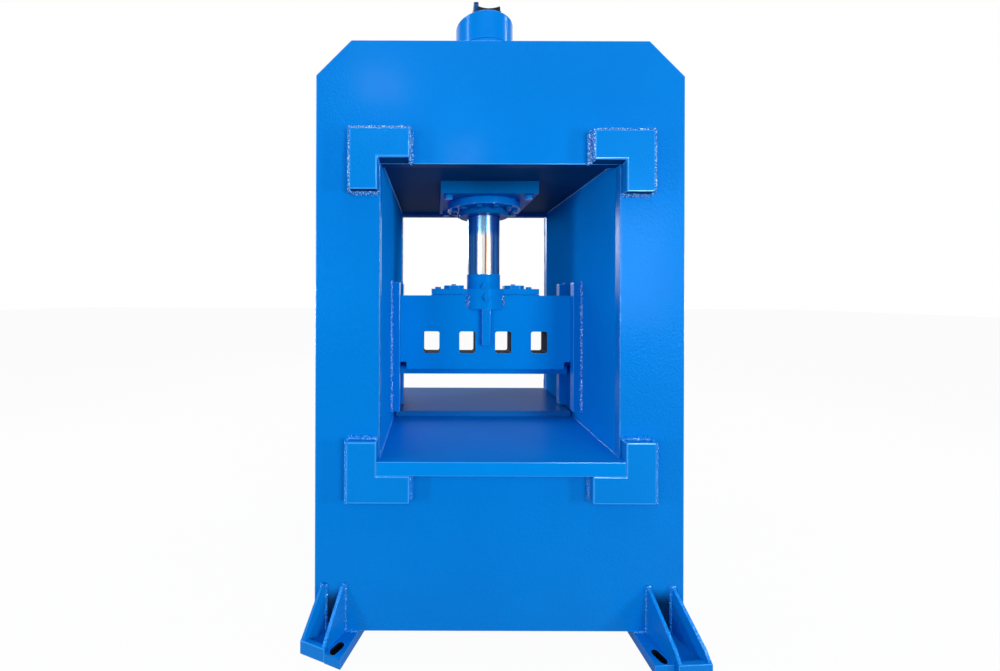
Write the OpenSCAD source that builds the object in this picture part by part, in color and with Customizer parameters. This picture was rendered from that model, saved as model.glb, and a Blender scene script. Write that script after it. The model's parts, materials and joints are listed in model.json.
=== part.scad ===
// Welded plate-frame hydraulic press with a guided crosshead.
// Millimetres. Origin on the floor at the centre of the frame, +X to the right,
// +Y into the press from its front, +Z up. The ram stands as in the photograph.

/* [Face plates] */
// Width of the two face plates
frame_w = 1200; // [1160:10:1400]
// Height of their top edge above the floor
frame_top = 1950; // [1900:10:2050]
// Depth over the outer faces of the two plates
frame_d = 850; // [700:10:1000]
// Thickness of a face plate
plate_t = 35; // [25:1:50]
// Leg of the cut at each top corner
corner_cut = 114; // [60:2:180]
// Width of the window
window_w = 780; // [750:5:840]
// Height of the window's sill above the floor
sill_z = 550; // [500:5:580]
// Height of the window's top edge above the floor
window_top = 1547; // [1520:1:1560]

/* [Box between the plates] */
// Thickness of the tunnel's side walls
wall_t = 30; // [20:1:40]
// How far the side walls reach below the sill
wall_drop = 50; // [20:5:100]
// Height of the tunnel's ceiling above the windows' top edges
ceiling_rise = 18; // [0:1:40]
// Thickness of the tunnel's ceiling plate
ceiling_t = 35; // [25:1:50]
// Thickness of the outer side, shoulder and top plates
cover_t = 20; // [10:1:30]
// How far those plates lie inside the edge of the face plates
cover_inset = 10; // [5:1:20]
// Thickness of the inner webs
web_t = 30; // [20:1:40]
// Clear width between the webs in the crown
crown_web_gap = 280; // [270:5:340]
// Clear width between the webs under the table
bed_web_gap = 320; // [200:5:500]

/* [Table and bed] */
// Thickness of the table plate
table_t = 45; // [30:1:60]
// Thickness of the bed plate on it
bed_t = 25; // [15:1:40]
// Where the bed plate's front edge lies, before the cylinder's axis
bed_front = 14; // [0:1:60]
// Where its rear edge lies, behind the cylinder's axis
bed_rear = 400; // [300:5:420]
// Gap between the bed plate and each tunnel wall
bed_gap = 10; // [5:1:30]
// How far the table's ends reach past the window's sides, before and behind the frame
table_lap = 5; // [0:1:15]

/* [Corner pads] */
// Width over an upper L-shaped pad
upper_pad_w = 193; // [150:1:230]
// Height over an upper pad
upper_pad_h = 198; // [150:1:230]
// Width over a lower pad
lower_pad_w = 202; // [150:1:230]
// Height over a lower pad
lower_pad_h = 195; // [150:1:230]
// Width of an upper pad's upright leg
upper_leg_w = 90; // [70:1:110]
// Width of a lower pad's upright leg
lower_leg_w = 97; // [70:1:110]
// Height of the lying leg of an upper pad
upper_leg_h = 94; // [70:1:110]
// Height of the lying leg of a lower pad
lower_leg_h = 88; // [70:1:110]
// Set-back of the pads' inner edges from the window's sides
pad_back = 5; // [0:1:15]
// How far an upper pad's underside slopes up from the window's top to the pad's face
pad_rise = 13; // [8:1:20]
// How much lower the right upper pad sits than the left one
right_pad_drop = 6; // [0:1:12]
// Thickness of a pad
pad_t = 35; // [20:1:50]

/* [Guide bars] */
// How far a bar stands out from the tunnel wall
guide_w = 35; // [30:1:60]
// Thickness of a bar
guide_t = 36; // [25:1:50]
// Height of the bars' top ends above the floor
guide_top = 1174; // [1100:5:1300]
// Height of the front bars' lower ends above the table
front_guide_lift = 50; // [10:1:80]
// Height of the rear bars' lower ends above the bed plate
rear_guide_lift = 4; // [2:1:40]
// Slide clearance between bars and crosshead
guide_clear = 2; // [1:0.5:4]

/* [Feet] */
// Thickness of a foot's floor plate
foot_t = 30; // [20:1:40]
// How far a floor plate reaches under the frame
foot_back = 120; // [60:5:200]
// Height of the left foot's gusset tops above the floor
left_gusset_top = 184; // [140:1:240]
// Height of the right foot's gusset tops above the floor
right_gusset_top = 179; // [140:1:240]
// Thickness of a gusset
gusset_t = 12; // [8:1:20]
// Height of the toe plate above the floor
toe_h = 42; // [36:1:60]
// Thickness of the toe plate
toe_t = 15; // [8:1:20]
// Width of an anchor slot
slot_w = 24; // [16:1:28]
// Length of an anchor slot over its round ends
slot_l = 48; // [36:1:56]
// Turn of an anchor slot from its foot's direction
slot_turn = 18; // [0:1:25]
// Slot centre behind the floor plate's front edge
slot_behind_front = 28; // [26:1:36]
// Slot centre from the floor plate's inner edge
slot_from_edge = 31; // [28:1:34]

/* [Left front foot] */
// Turn outwards
left_turn = 20; // [10:1:24]
// Where the inner edge meets the face plate, from the plate's side
left_edge_in = 144; // [130:1:200]
// Reach of the floor plate before the face plate
left_reach = 103; // [98:1:140]
// Width of the floor plate
left_foot_w = 148; // [140:1:160]
// Width of the toe plate
left_toe_w = 90; // [80:1:92]
// Extra turn of the inner gusset
left_inner_turn = 11; // [0:1:18]
// Extra turn of the outer gusset
left_outer_turn = 28; // [0:1:30]

/* [Right front foot] */
// Turn outwards
right_turn = 3; // [0:1:10]
// Where the inner edge meets the face plate, from the plate's side
right_edge_in = 164; // [150:1:200]
// Reach of the floor plate before the face plate
right_reach = 113; // [100:1:140]
// Width of the floor plate
right_foot_w = 166; // [150:1:180]
// Width of the toe plate
right_toe_w = 104; // [90:1:110]
// How far the toe plate stands ahead of the floor plate
right_toe_ahead = 15; // [0:1:15]
// Extra turn of the inner gusset
right_inner_turn = 9; // [0:1:14]
// Extra turn of the outer gusset
right_outer_turn = 15; // [0:1:20]
// Height of the bend in the gussets' sloping edge above the floor
bend_z = 70; // [60:1:80]
// Distance of that bend behind the toe plate's face
bend_back = 20; // [16:1:30]

/* [Cylinder] */
// Outer diameter of the barrel
barrel_d = 245; // [240:1:250]
// Thickness of the barrel's wall
barrel_wall = 22.5; // [18:0.5:26]
// Space between the ram rod and the bore
annulus = 30; // [28:1:40]
// Edge of the square mounting plate beyond the head flange
mount_edge = 32; // [28:1:50]
// Thickness of the mounting plate
mount_t = 48; // [35:1:55]
// Distance of the mounting bolts from its edges
mount_bolt_edge = 31; // [24:1:36]
// Distance of the head bolts' circle from the barrel
head_bolt_out = 9.5; // [9.5:0.5:14]
// Edge of the head flange beyond that circle
flange_edge = 26; // [20:1:34]
// Thickness of the head flange
flange_t = 29; // [20:1:35]
// Number of head bolts
head_bolts_n = 12; // [6:1:14]
// Set-back of the gland ring from the head bolts' circle
gland_in = 25.5; // [22:0.5:34]
// Height of the gland ring
gland_h = 27; // [22:1:40]
// Length of the head's spigot inside the barrel
head_spigot = 80; // [70:1:100]
// Length of the end cap's spigot inside the barrel
cap_spigot = 26; // [10:1:30]
// Height of the end cap above the barrel
cap_h = 113; // [90:1:140]
// Height of the cap-end port above the barrel's top edge
cap_port_up = 52; // [40:1:60]
// Radius of the cap-end port's thread
port_r = 15.15; // [10:0.05:16]
// Radius of the rod-end port's thread
rod_port_r = 10.5; // [8:0.1:12]
// Height of the rod-end port above the mounting plate's underside
rod_port_up = 18; // [16:1:22]
// Depth of a port's thread
port_l = 22; // [16:1:26]
// Radius of an oil passage
oil_r = 8; // [5:0.5:9]

/* [Ram] */
// Rod showing below the gland as photographed
rod_out = 250; // [240:5:300]
// Travel downwards from there
ram_down = 155; // [100:5:156]
// Travel upwards from there
ram_up = 230; // [150:5:240]
// Length of the piston
piston_l = 100; // [80:1:120]
// Height of the piston nut
nut_h = 30; // [20:1:40]
// Space left in the barrel at each end of the stroke
end_gap = 15; // [8:1:25]
// Shoulder between the rod and the spigots at its two ends
rod_step = 20; // [10:1:30]
// Depth of the rod's spigot in the adaptor
socket_depth = 90; // [60:1:110]
// Wall of the piston nut outside its thread
nut_wall = 20; // [12:1:24]
// Radial clearance of the rod in its guide bore
rod_clear = 0.05; // [0.03:0.01:0.08]
// How far the painted adaptor on the rod's end stands out from the rod
adaptor_lip = 2; // [1.5:0.5:4]
// Length of the adaptor
adaptor_l = 147; // [130:1:160]

/* [Crosshead] */
// Height of the slab
slab_h = 308; // [290:1:340]
// Thickness of the slab
slab_t = 90; // [60:1:100]
// Depth of the whole crosshead between the guide bars
cross_d = 140; // [130:1:150]
// Gap between the slab's ends and the tunnel walls
end_clear = 5; // [2:1:10]
// Width of the notch at each lower corner of the slab
notch_w = 55; // [40:1:60]
// Height of that notch
notch_h = 30; // [20:1:40]
// Width of a window in the slab
port_w = 67; // [50:1:80]
// Height of a window in the slab
port_h = 90; // [60:1:100]
// Corner radius of a window in the slab
port_corner = 9; // [4:1:20]
// Height of the windows above the slab's lower edge
port_up = 67; // [50:1:80]
// Distance between the windows' centres
port_pitch = 150; // [120:1:156]
// How deep the collar stands in the slab's top
collar_seat = 57; // [40:1:70]
// Thickness of the collar's wall
collar_wall = 29; // [25:0.5:38]
// Height of the collar
collar_h = 85; // [75:1:100]
// Width of the ribs under the collar
rib_w = 34; // [20:1:50]
// Height of the front rib
rib_h = 148; // [100:1:160]
// Set-back of the ribs' faces from the collar's edge
rib_back = 2.5; // [0:0.5:10]
// Set-back of the press bar's ends from the slab's ends
bar_back = 18; // [10:1:60]
// Thickness of the press bar
bar_t = 35; // [20:1:40]
// Depth of the press bar
bar_d = 70; // [60:1:75]
// Width of a guide shoe
shoe_w = 60; // [40:1:80]
// How far the retaining plate on the slab reaches past a clamp plate
keeper_past = 54; // [48:1:80]
// Height of the weld rebate under the retaining plate
keeper_rebate = 5; // [3:1:8]
// Set-back of the retaining plate's face behind the slab's
keeper_back = 4; // [0:1:10]
// Gap between a clamp plate and the adaptor
clamp_gap = 15; // [8:1:28]
// Width of a clamp plate
clamp_w = 85; // [60:1:100]
// Depth of a clamp plate
clamp_d = 96; // [60:1:110]
// Thickness of a clamp plate
clamp_t = 15; // [10:1:20]
// Distance of the retaining plate's screws from its ends
keeper_screw_in = 28; // [20:1:32]

/* [Roller on the cap] */
// Where the ear's face lies, to the left of the cylinder's axis
ear_x = 28; // [20:1:40]
// Thickness of the ear
ear_t = 19; // [12:1:26]
// Width of the ear
ear_w = 70; // [60:1:90]
// Height of the ear
ear_h = 115; // [100:1:150]
// Height of the pin above the cap
pin_up = 63; // [48:1:70]
// Diameter of the pin
pin_d = 24; // [16:1:30]
// Diameter of the pin's head and of its end collar
pin_head_d = 36; // [32:1:50]
// Length of the roller
roller_l = 92; // [60:1:100]
// Diameter of the roller at its ends
roller_d = 68; // [60:1:74]
// Diameter of the roller at its waist
waist_d = 54; // [44:1:58]
// Gap between the roller and the ear, and the end collar
roller_gap = 1; // [0.5:0.5:4]

/* [Hidden] */
$fn = 64;
eps = 1;
fit = 0.1;
running = 0.05;
seal_clear = 0.3;

blue = [0.0, 0.47, 0.86];
dark_blue = [0.0, 0.30, 0.62];
chrome = [0.80, 0.81, 0.83];
steel = [0.55, 0.56, 0.58];
black = [0.10, 0.11, 0.13];
bronze = [0.62, 0.45, 0.20];

// Frame levels and faces
face_y = frame_d / 2;
inner_y = face_y - plate_t;
inner_d = 2 * inner_y;
half_w = frame_w / 2;
wall_x = window_w / 2;
ceiling_z = window_top + ceiling_rise;
pad_x = wall_x + pad_back;
table_top = sill_z + table_t;
bed_top = table_top + bed_t;
mitre = tan(22.5);
cover_side = function(i) [half_w - i, frame_top - corner_cut - mitre * i];
cover_top = function(i) [half_w - corner_cut - mitre * i, frame_top - i];
cover_in = cover_inset + cover_t;

// Cylinder diameters
bore_d = barrel_d - 2 * barrel_wall;
rod_d = bore_d - 2 * annulus;
rod_spigot_d = rod_d - 2 * rod_step;
adaptor_d = rod_d + 2 * adaptor_lip;
collar_d = adaptor_d + 2 * collar_wall;
head_bolt_r = barrel_d / 2 + head_bolt_out;
flange_d = 2 * (head_bolt_r + flange_edge);
gland_d = 2 * (head_bolt_r - gland_in);
mount_w = flange_d + 2 * mount_edge;
passage_in = 40;
boss_wall = 14;
boss_sink = 12;
ring_from_end = 20;
spigot_land = 13;
spigot_relief = 6;

// Cylinder levels, from the ceiling down and up
mount_z = ceiling_z - mount_t;
flange_z = mount_z - flange_t;
gland_z = flange_z - gland_h;
head_top = mount_z + head_spigot;
piston_z = head_top + end_gap + ram_down;
nut_z = piston_z + piston_l;
cap_face_z = nut_z + nut_h + ram_up + end_gap;
barrel_top = cap_face_z + cap_spigot;
cap_top = barrel_top + cap_h;
port_z = barrel_top + cap_port_up;
hole_r = barrel_d / 2 + 1.5;
port_step = 30;
seal_section = 10;
seal_d = rod_d + 2 * seal_section;
seal_h = 10;
seal_up = 14;
seal_pitch = 30;
wiper_up = 8;
ring_h = 12;
ring_depth = 8;

// Fasteners
head_bolt_d = 16;
head_bolt_af = 24;
head_bolt_k = 10;
head_bolt_in = 25;
mount_bolt_d = 20;
mount_bolt_af = 30;
mount_bolt_k = 13;
mount_bolt_in = 28;
washer_d = 37;
washer_t = 3;
mount_bolt_xy = mount_w / 2 - mount_bolt_edge;
collar_screw_af = 25;
collar_screw_k = 14;
collar_screw_up = 50;
adaptor_screw_af = 32;
adaptor_screw_k = 12;
adaptor_screw_up = 9;
screw_d = 16;
clamp_screw_af = 17;
clamp_screw_k = 6;
keeper_screw_af = 22;
keeper_screw_k = 9;
small_screw_d = 10;
small_screw_in = 12;

// Crosshead levels
adaptor_top = gland_z - rod_out;
adaptor_z = adaptor_top - adaptor_l;
collar_top = adaptor_z + collar_h;
slab_top = adaptor_z + collar_seat;
slab_z = slab_top - slab_h;
bar_z = slab_z - bar_t;
slab_half_w = wall_x - end_clear;
slab_front = -cross_d / 2;
slab_back = slab_front + slab_t;
cross_back = cross_d / 2;
guide_y = cross_d / 2 + guide_clear;
bar_half_w = slab_half_w - bar_back;
clamp_inner_x = adaptor_d / 2 + clamp_gap;
clamp_outer_x = clamp_inner_x + clamp_w;
clamp_mid_x = (clamp_inner_x + clamp_outer_x) / 2;
keeper_w = 2 * (clamp_outer_x + keeper_past);
keeper_screw_x = keeper_w / 2 - keeper_screw_in;
clamp_bevel = 22;

// Roller levels
pin_z = cap_top + pin_up;
roller_x = roller_gap - ear_x;
pin_head_t = 5;

// Stands an outline drawn in X and Z upright, from y0 to y0 + t
module upright(y0, t) {
  translate([0, y0 + t, 0]) rotate([90, 0, 0]) linear_extrude(t) children();
}

// Lays an outline drawn in Y and Z across the press, from x0 to x0 + t
module across(x0, t) {
  translate([x0, 0, 0]) rotate([90, 0, 90]) linear_extrude(t) children();
}

// Hexagonal head or nut with its flats af apart, from z = 0 to z = k
module hex(af, k) {
  cylinder(d = af / cos(30), h = k, $fn = 6);
}

// Four places on a square, half a side from the middle
module at_corners(half) {
  for (x = [-half, half], y = [-half, half]) translate([x, y, 0]) children();
}

// The head bolts' places on their circle
module on_bolt_ring() {
  for (i = [0 : head_bolts_n - 1])
    rotate((i + 0.5) * 360 / head_bolts_n) translate([head_bolt_r, 0, 0]) children();
}

// Outline of a face plate: cut top corners and one window
module face_outline() {
  difference() {
    polygon([
      [-half_w, foot_t], [half_w, foot_t], cover_side(0), cover_top(0),
      [-cover_top(0)[0], frame_top], [-half_w, cover_side(0)[1]]
    ]);
    translate([-wall_x, sill_z]) square([window_w, window_top - sill_z]);
  }
}

module front_plate() {
  color(blue) upright(-face_y, plate_t) face_outline();
}

module rear_plate() {
  color(blue) upright(inner_y, plate_t) face_outline();
}

module wall(side) {
  x0 = side < 0 ? -wall_x - wall_t : wall_x;
  z0 = sill_z - wall_drop;
  color(blue) translate([x0, -inner_y, z0]) cube([wall_t, inner_d, ceiling_z + ceiling_t - z0]);
}

module ceiling_plate() {
  color(dark_blue) difference() {
    translate([-wall_x, -inner_y, ceiling_z]) cube([window_w, inner_d, ceiling_t]);
    translate([0, 0, ceiling_z - eps]) cylinder(r = hole_r, h = ceiling_t + 2 * eps);
    translate([0, 0, ceiling_z - eps]) at_corners(mount_bolt_xy)
      cylinder(d = mount_bolt_d + 2 * fit, h = mount_bolt_in + 1 + eps);
  }
}

module table_plate() {
  half = wall_x + table_lap;
  color(blue) {
    translate([-wall_x, -face_y, sill_z]) cube([window_w, frame_d, table_t]);
    for (y = [-face_y - pad_t, face_y]) translate([-half, y, sill_z]) cube([2 * half, pad_t, table_t]);
  }
}

module bed_plate() {
  half = wall_x - bed_gap;
  color(blue) translate([-half, -bed_front, table_top]) cube([2 * half, bed_front + bed_rear, bed_t]);
}

module side_plate(side) {
  color(blue) mirror([side < 0 ? 1 : 0, 0, 0]) upright(-inner_y, inner_d)
    polygon([
      [half_w - cover_in, foot_t], [half_w - cover_inset, foot_t],
      cover_side(cover_inset), cover_side(cover_in)
    ]);
}

module shoulder_plate(side) {
  color(blue) mirror([side < 0 ? 1 : 0, 0, 0]) upright(-inner_y, inner_d)
    polygon([
      cover_side(cover_inset), cover_top(cover_inset), cover_top(cover_in), cover_side(cover_in)
    ]);
}

module top_plate() {
  outer = cover_top(cover_inset);
  inner = cover_top(cover_in);
  color(blue) difference() {
    upright(-inner_y, inner_d)
      polygon([outer, inner, [-inner[0], inner[1]], [-outer[0], outer[1]]]);
    translate([0, 0, frame_top - cover_in - eps]) cylinder(r = hole_r, h = cover_t + 2 * eps);
  }
}

module crown_webs() {
  z0 = ceiling_z + ceiling_t;
  color(dark_blue) for (x = [-crown_web_gap / 2 - web_t, crown_web_gap / 2])
    translate([x, -inner_y, z0]) cube([web_t, inner_d, frame_top - cover_in - z0]);
}

module bed_webs() {
  color(dark_blue) for (x = [-bed_web_gap / 2 - web_t, bed_web_gap / 2])
    translate([x, -inner_y, foot_t]) cube([web_t, inner_d, sill_z - foot_t]);
}

// L-shaped pad below a window corner; side is -1 or 1
module lower_pad(side) {
  mirror([side < 0 ? 1 : 0, 0, 0]) upright(-face_y - pad_t, pad_t) {
    translate([pad_x + lower_leg_w - lower_pad_w, sill_z - lower_leg_h]) square([lower_pad_w, lower_leg_h]);
    translate([pad_x, sill_z - lower_leg_h]) square([lower_leg_w, lower_pad_h]);
  }
}

// L-shaped pad above a window corner: the lying leg's underside starts flush with the window's
// top and slopes up to the pad's face
module upper_pad(side, drop) {
  top = window_top + pad_rise + upper_leg_h - drop;
  mirror([side < 0 ? 1 : 0, 0, 0]) {
    across(pad_x + upper_leg_w - upper_pad_w, upper_pad_w) polygon([
      [-face_y, window_top], [-face_y, top], [-face_y - pad_t, top],
      [-face_y - pad_t, window_top + pad_rise - drop]
    ]);
    translate([pad_x, -face_y - pad_t, top - upper_pad_h]) cube([upper_leg_w, pad_t, upper_pad_h]);
  }
}

module front_pad(side, up) {
  color(blue) if (up > 0) upper_pad(side, side > 0 ? right_pad_drop : 0); else lower_pad(side);
}

module rear_pads(up) {
  color(blue) mirror([0, 1, 0]) for (side = [-1, 1]) if (up > 0) upper_pad(side, 0); else lower_pad(side);
}

// Guide bar on a tunnel wall; side is -1 or 1, back is 1 behind the crosshead
module guide(side, back) {
  z0 = back > 0 ? bed_top + rear_guide_lift : table_top + front_guide_lift;
  x0 = side < 0 ? -wall_x : wall_x - guide_w;
  y0 = back > 0 ? guide_y : -guide_y - guide_t;
  color(blue) translate([x0, y0, z0]) cube([guide_w, guide_t, guide_top - z0]);
}

// A foot is drawn with its inner edge's meeting point with the face plate as origin,
// X outwards across the foot, -Y forwards along it, then turned and set in place.
module place_foot(side, edge_in, turn) {
  mirror([side < 0 ? 1 : 0, 0, 0]) translate([half_w - edge_in, -face_y, 0]) rotate(turn) children();
}

module slot_outline(reach) {
  translate([slot_from_edge, slot_behind_front - reach]) rotate(slot_turn) hull_free_slot();
}

// Slot with round ends, its length along Y
module hull_free_slot() {
  run = slot_l - slot_w;
  translate([-slot_w / 2, -run / 2]) square([slot_w, run]);
  for (y = [-run / 2, run / 2]) translate([0, y]) circle(d = slot_w);
}

module foot_plate(reach, width, toe_w, ahead) {
  recess = toe_t - ahead;
  linear_extrude(foot_t) difference() {
    translate([0, -reach]) square([width, reach + foot_back]);
    slot_outline(reach);
    if (recess > 0) translate([width - toe_w, -reach - eps]) square([toe_w + eps, recess + eps]);
  }
}

module toe_plate(reach, width, toe_w, ahead) {
  translate([width - toe_w, -reach - ahead, 0]) cube([toe_w, toe_t, toe_h]);
}

// One gusset: its outer face starts at x over the toe plate's face, and it runs back to the
// face plate, turned inwards by extra. bend is [distance back, height], or [] for none.
module gusset(x, reach, ahead, turn, extra, bend, top) {
  front = reach + ahead;
  run = (front * cos(turn) - x * sin(turn)) / cos(turn + extra);
  over = 60;
  tip = 3;
  difference() {
    translate([x, -front, 0]) rotate(extra) translate([-gusset_t, 0, 0]) across(0, gusset_t)
      polygon(concat(
        [[tip, foot_t], [run + over, foot_t], [run + over, top], [run, top]],
        bend,
        [[tip, toe_h]]
      ));
    translate([-frame_w, -front - frame_w, -eps]) cube([2 * frame_w, frame_w + tip, frame_top]);
    translate([-frame_w, -front - eps, -eps]) cube([2 * frame_w, toe_t + eps, toe_h + eps]);
    rotate(-turn) translate([-frame_w, 0, -eps]) cube([2 * frame_w, frame_w, frame_top]);
  }
}

module gusset_pair(reach, width, toe_w, ahead, turn, inner, outer, bend, top) {
  gusset(width - toe_w + gusset_t, reach, ahead, turn, inner, bend, top);
  gusset(width, reach, ahead, turn, outer, bend, top);
}

module left_foot() {
  color(blue) place_foot(-1, left_edge_in, left_turn) foot_plate(left_reach, left_foot_w, left_toe_w, 0);
}

module right_foot() {
  color(blue) place_foot(1, right_edge_in, right_turn)
    foot_plate(right_reach, right_foot_w, right_toe_w, right_toe_ahead);
}

module left_gussets() {
  color(blue) place_foot(-1, left_edge_in, left_turn)
    gusset_pair(left_reach, left_foot_w, left_toe_w, 0, left_turn, left_inner_turn, left_outer_turn, [],
      left_gusset_top);
}

module right_gussets() {
  color(blue) place_foot(1, right_edge_in, right_turn)
    gusset_pair(right_reach, right_foot_w, right_toe_w, right_toe_ahead, right_turn,
      right_inner_turn, right_outer_turn, [[bend_back, bend_z]], right_gusset_top);
}

module front_toes() {
  place_foot(-1, left_edge_in, left_turn) toe_plate(left_reach, left_foot_w, left_toe_w, 0);
  place_foot(1, right_edge_in, right_turn)
    toe_plate(right_reach, right_foot_w, right_toe_w, right_toe_ahead);
}

module toe_plates() {
  color(blue) {
    front_toes();
    rotate(180) front_toes();
  }
}

// Square plate that carries the cylinder, bolted up to the ceiling plate
module mounting_plate() {
  color(blue) difference() {
    translate([-mount_w / 2, -mount_w / 2, mount_z]) cube([mount_w, mount_w, mount_t]);
    translate([0, 0, mount_z - eps]) cylinder(r = barrel_d / 2 + fit, h = mount_t + 2 * eps);
    translate([0, 0, mount_z - eps]) at_corners(mount_bolt_xy)
      cylinder(d = mount_bolt_d + 2 * fit, h = mount_t + 2 * eps);
    translate([0, 0, mount_z - eps]) on_bolt_ring()
      cylinder(d = head_bolt_d + 2 * fit, h = head_bolt_in + 1 + eps);
    translate([0, mount_w / 2 - port_l, mount_z + rod_port_up]) rotate([-90, 0, 0])
      cylinder(r = rod_port_r, h = port_l + eps);
    translate([0, 0, mount_z + rod_port_up]) rotate([-90, 0, 0]) cylinder(r = oil_r, h = mount_w / 2 - eps);
  }
}

module mounting_bolts() {
  color(blue) at_corners(mount_bolt_xy) {
    translate([0, 0, mount_z - washer_t - mount_bolt_k]) hex(mount_bolt_af, mount_bolt_k);
    translate([0, 0, mount_z - washer_t])
      cylinder(d = mount_bolt_d, h = washer_t + mount_t + mount_bolt_in);
  }
}

module mounting_washers() {
  color(blue) at_corners(mount_bolt_xy) translate([0, 0, mount_z - washer_t]) difference() {
    cylinder(d = washer_d, h = washer_t);
    translate([0, 0, -eps]) cylinder(d = mount_bolt_d + 2 * fit, h = washer_t + 2 * eps);
  }
}

module barrel() {
  color(blue) difference() {
    translate([0, 0, mount_z]) cylinder(d = barrel_d, h = barrel_top - mount_z);
    translate([0, 0, mount_z - eps]) cylinder(d = bore_d, h = barrel_top - mount_z + 2 * eps);
    translate([0, 0, mount_z + rod_port_up]) rotate([-90, 0, 0]) cylinder(r = oil_r, h = barrel_d);
  }
}

// End cap: a turned block with a spigot in the bore and a drilled passage to its rear port
module end_cap() {
  edge = 3;
  passage_y = bore_d / 2 - passage_in;
  color(blue) difference() {
    translate([0, 0, cap_face_z]) rotate_extrude() polygon([
      [0, 0], [bore_d / 2 - fit, 0], [bore_d / 2 - fit, cap_spigot], [barrel_d / 2, cap_spigot],
      [barrel_d / 2, cap_spigot + cap_h - edge], [barrel_d / 2 - edge, cap_spigot + cap_h],
      [0, cap_spigot + cap_h]
    ]);
    translate([0, passage_y, port_z]) rotate([-90, 0, 0]) cylinder(r = oil_r, h = barrel_d);
    translate([0, passage_y, cap_face_z - eps]) cylinder(r = oil_r, h = port_z - cap_face_z + eps);
  }
}

// Threaded boss on the cap's rear side, cut to the cap's curve
module cap_port_boss() {
  out_y = barrel_d / 2 + port_step;
  color(blue) difference() {
    translate([0, barrel_d / 2 - boss_sink, port_z]) rotate([-90, 0, 0])
      cylinder(r = port_r + boss_wall, h = port_step + boss_sink);
    translate([0, 0, barrel_top]) cylinder(d = barrel_d, h = cap_h);
    translate([0, 0, port_z]) rotate([-90, 0, 0]) cylinder(r = oil_r, h = out_y);
    translate([0, out_y - port_l, port_z]) rotate([-90, 0, 0]) cylinder(r = port_r, h = port_l + eps);
  }
}

// Head: a flange below the mounting plate and a spigot with two seal grooves inside the barrel
module cylinder_head() {
  relief_r = bore_d / 2 - spigot_relief;
  guide_r = rod_d / 2 + rod_clear;
  groove_r = seal_d / 2 + fit;
  color(blue) difference() {
    translate([0, 0, flange_z]) rotate_extrude() polygon([
      [guide_r, 0], [flange_d / 2, 0], [flange_d / 2, flange_t],
      [bore_d / 2 - fit, flange_t], [bore_d / 2 - fit, flange_t + spigot_land],
      [relief_r, flange_t + spigot_land], [relief_r, flange_t + head_spigot],
      [guide_r, flange_t + head_spigot]
    ]);
    for (z = seal_levels) translate([0, 0, z]) cylinder(r = groove_r, h = seal_h + fit);
    translate([0, 0, flange_z - eps]) on_bolt_ring()
      cylinder(d = head_bolt_d + 2 * fit, h = flange_t + 2 * eps);
  }
}
seal_levels = [mount_z + seal_up, mount_z + seal_up + seal_pitch];
wiper_z = gland_z + wiper_up;

module gland_ring() {
  color(blue) difference() {
    translate([0, 0, gland_z]) cylinder(d = gland_d, h = gland_h);
    translate([0, 0, gland_z - eps]) cylinder(d = rod_d + 1, h = gland_h + 2 * eps);
    translate([0, 0, wiper_z]) cylinder(r = seal_d / 2 + fit, h = seal_h + fit);
  }
}

module head_bolts() {
  color(blue) on_bolt_ring() {
    translate([0, 0, flange_z - head_bolt_k]) hex(head_bolt_af, head_bolt_k);
    translate([0, 0, flange_z]) cylinder(d = head_bolt_d, h = flange_t + head_bolt_in);
  }
}

module rod_seals() {
  color(black) for (z = concat([wiper_z], seal_levels)) translate([0, 0, z]) difference() {
    cylinder(d = seal_d, h = seal_h);
    translate([0, 0, -eps]) cylinder(r = rod_d / 2 + seal_clear, h = seal_h + 2 * eps);
  }
}

// One ear on the cap's top; the roller stands out from it to the right
module roller_ear() {
  round_r = ear_w / 2;
  color(blue) difference() {
    across(-ear_x - ear_t, ear_t) union() {
      translate([-round_r, cap_top]) square([ear_w, ear_h - round_r]);
      translate([0, cap_top + ear_h - round_r]) circle(r = round_r);
    }
    translate([-ear_x - ear_t - eps, 0, pin_z]) rotate([0, 90, 0])
      cylinder(d = pin_d + 2 * fit, h = ear_t + 2 * eps);
  }
}

module roller_pin() {
  start = -ear_x - ear_t;
  end = roller_x + roller_l + roller_gap;
  color(steel) {
    translate([start, 0, pin_z]) rotate([0, 90, 0]) cylinder(d = pin_d, h = end - start);
    for (x = [start - pin_head_t, end]) translate([x, 0, pin_z]) rotate([0, 90, 0])
      cylinder(d = pin_head_d, h = pin_head_t);
  }
}

module roller() {
  sag = (roller_d - waist_d) / 2;
  arc_r = (pow(roller_l / 2, 2) + pow(sag, 2)) / (2 * sag);
  bore_r = pin_d / 2 + running;
  color(black) translate([roller_x + roller_l / 2, 0, pin_z]) rotate([0, 90, 0]) rotate_extrude() difference() {
    translate([bore_r, -roller_l / 2]) square([roller_d / 2 - bore_r, roller_l]);
    translate([waist_d / 2 + arc_r, 0]) circle(r = arc_r, $fn = 256);
  }
}

// Rod with a spigot for the adaptor below and for the piston and its nut above
module ram_rod() {
  color(chrome) {
    translate([0, 0, adaptor_top - socket_depth]) cylinder(d = rod_spigot_d, h = socket_depth);
    translate([0, 0, adaptor_top]) cylinder(d = rod_d, h = piston_z - adaptor_top);
    translate([0, 0, piston_z]) cylinder(d = rod_spigot_d, h = piston_l + nut_h);
  }
}

ring_levels = [piston_z + ring_from_end, nut_z - ring_from_end - ring_h];
piston_r = bore_d / 2 - seal_clear;

module piston() {
  color(steel) difference() {
    translate([0, 0, piston_z]) cylinder(r = piston_r, h = piston_l);
    translate([0, 0, piston_z - eps]) cylinder(r = rod_spigot_d / 2 + fit, h = piston_l + 2 * eps);
    for (z = ring_levels) translate([0, 0, z]) difference() {
      cylinder(r = piston_r + eps, h = ring_h);
      translate([0, 0, -eps]) cylinder(r = piston_r - ring_depth, h = ring_h + 2 * eps);
    }
  }
}

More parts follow.
